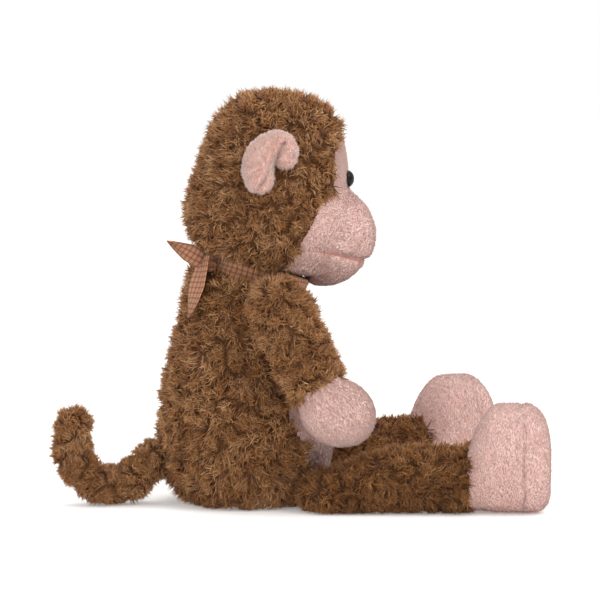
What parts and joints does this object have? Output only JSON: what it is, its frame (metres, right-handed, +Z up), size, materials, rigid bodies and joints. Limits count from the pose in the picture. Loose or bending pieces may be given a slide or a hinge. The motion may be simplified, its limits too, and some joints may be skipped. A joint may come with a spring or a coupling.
{
  "type": "stuffed monkey",
  "caption": "Sitting plush monkey with shaggy brown fur, pink face, hands and feet, a curled tail and a knotted neckerchief; head, limbs and tail move.",
  "frame": {"origin": "centre of the flat seat under the body, on the surface it sits on", "axes": "+Z up, +X the way the monkey faces, +Y its left side"},
  "size_m": [0.3461, 0.2424, 0.2952],
  "materials": {
    "polyester_filling": "loose polyester filling",
    "bean_bag_cloth": "plain woven cotton bag",
    "sewing_thread": "waxed brown sewing thread",
    "mouth_thread": "embroidery thread",
    "washer_plastic": "moulded matte plastic",
    "eye_plastic": "polished black plastic",
    "check_cotton": "yarn-dyed check cotton",
    "sole_plush": "short-pile plush",
    "pink_plush": "short-pile plush",
    "ear_plush": "short-pile plush with a fuzzy edge",
    "brown_plush": "long curly pile plush"
  },
  "bodies": {
    "body": {"body_cover": "brown_plush", "belly_panel": "pink_plush", "body_stuffing": "polyester_filling", "seat_bean_bag": "bean_bag_cloth", "scarf_band": "check_cotton", "scarf_knot": "check_cotton", "scarf_end_back": "check_cotton", "scarf_end_hanging": "check_cotton"},
    "neck": {"neck_cover": "brown_plush", "neck_stuffing": "polyester_filling"},
    "head": {"head_cover": "brown_plush", "face_panel": "pink_plush", "head_stuffing": "polyester_filling", "muzzle_cover": "pink_plush", "muzzle_stuffing": "polyester_filling", "mouth_thread": "mouth_thread", "eye_left": "eye_plastic", "eye_washer_left": "washer_plastic", "ear_left": "ear_plush", "eye_right": "eye_plastic", "eye_washer_right": "washer_plastic", "ear_right": "ear_plush"},
    "tail_root": {"tail_knot": "sewing_thread"},
    "tail": {"tail_cover": "brown_plush", "tail_stuffing": "polyester_filling"},
    "shoulder_left": {"shoulder_knot_left": "sewing_thread"},
    "arm_left": {"arm_cover_left": "brown_plush", "arm_stuffing_left": "polyester_filling", "hand_cover_left": "pink_plush", "hand_stuffing_left": "polyester_filling"},
    "hip_left": {"hip_knot_left": "sewing_thread"},
    "leg_left": {"leg_cover_left": "brown_plush", "leg_stuffing_left": "polyester_filling", "foot_cover_left": "pink_plush", "foot_sole_left": "sole_plush", "foot_stuffing_left": "polyester_filling"},
    "shoulder_right": {"shoulder_knot_right": "sewing_thread"},
    "arm_right": {"arm_cover_right": "brown_plush", "arm_stuffing_right": "polyester_filling", "hand_cover_right": "pink_plush", "hand_stuffing_right": "polyester_filling"},
    "hip_right": {"hip_knot_right": "sewing_thread"},
    "leg_right": {"leg_cover_right": "brown_plush", "leg_stuffing_right": "polyester_filling", "foot_cover_right": "pink_plush", "foot_sole_right": "sole_plush", "foot_stuffing_right": "polyester_filling"}
  },
  "joints": [
    {"name": "head_turn", "type": "hinge", "parent": "body", "child": "neck", "pos_m": [0.006, 0, 0.166], "axis": [0.2924, 0, 0.9563], "range_deg": [-35, 35], "stiffness_Nm_per_rad": 0.5},
    {"name": "head_nod", "type": "hinge", "parent": "neck", "child": "head", "pos_m": [0.006, 0, 0.166], "axis": [0, -1, 0], "range_deg": [-6, 8], "stiffness_Nm_per_rad": 1.5},
    {"name": "arm_left_swing", "type": "hinge", "parent": "body", "child": "shoulder_left", "pos_m": [0.01059, 0.06007, 0.147], "axis": [0, -1, 0], "range_deg": [-2, 80], "stiffness_Nm_per_rad": 0.25},
    {"name": "arm_left_spread", "type": "hinge", "parent": "shoulder_left", "child": "arm_left", "pos_m": [0.01059, 0.06007, 0.147], "axis": [0.9122, 0, 0.4098], "range_deg": [-1, 50], "stiffness_Nm_per_rad": 0.25},
    {"name": "leg_left_swing", "type": "hinge", "parent": "body", "child": "hip_left", "pos_m": [0.04821, 0.05745, 0.0229], "axis": [0, -1, 0], "range_deg": [-80, 4], "stiffness_Nm_per_rad": 0.6},
    {"name": "leg_left_spread", "type": "hinge", "parent": "hip_left", "child": "leg_left", "pos_m": [0.04821, 0.05745, 0.0229], "axis": [0, 0, 1], "range_deg": [-8, 25], "stiffness_Nm_per_rad": 0.6},
    {"name": "arm_right_swing", "type": "hinge", "parent": "body", "child": "shoulder_right", "pos_m": [0.01059, -0.06007, 0.147], "axis": [0, -1, 0], "range_deg": [-2, 80], "stiffness_Nm_per_rad": 0.25},
    {"name": "arm_right_spread", "type": "hinge", "parent": "shoulder_right", "child": "arm_right", "pos_m": [0.01059, -0.06007, 0.147], "axis": [-0.9122, 0, -0.4098], "range_deg": [-1, 50], "stiffness_Nm_per_rad": 0.25},
    {"name": "leg_right_swing", "type": "hinge", "parent": "body", "child": "hip_right", "pos_m": [0.04821, -0.05745, 0.0229], "axis": [0, -1, 0], "range_deg": [-80, 4], "stiffness_Nm_per_rad": 0.6},
    {"name": "leg_right_spread", "type": "hinge", "parent": "hip_right", "child": "leg_right", "pos_m": [0.04821, -0.05745, 0.0229], "axis": [0, 0, -1], "range_deg": [-8, 25], "stiffness_Nm_per_rad": 0.6},
    {"name": "tail_lift", "type": "hinge", "parent": "body", "child": "tail_root", "pos_m": [-0.0695, 0, 0.033], "axis": [0, 1, 0], "range_deg": [-1, 45], "stiffness_Nm_per_rad": 0.15},
    {"name": "tail_wag", "type": "hinge", "parent": "tail_root", "child": "tail", "pos_m": [-0.0695, 0, 0.033], "axis": [0, 0, 1], "range_deg": [-30, 30], "stiffness_Nm_per_rad": 0.15}
  ]
}
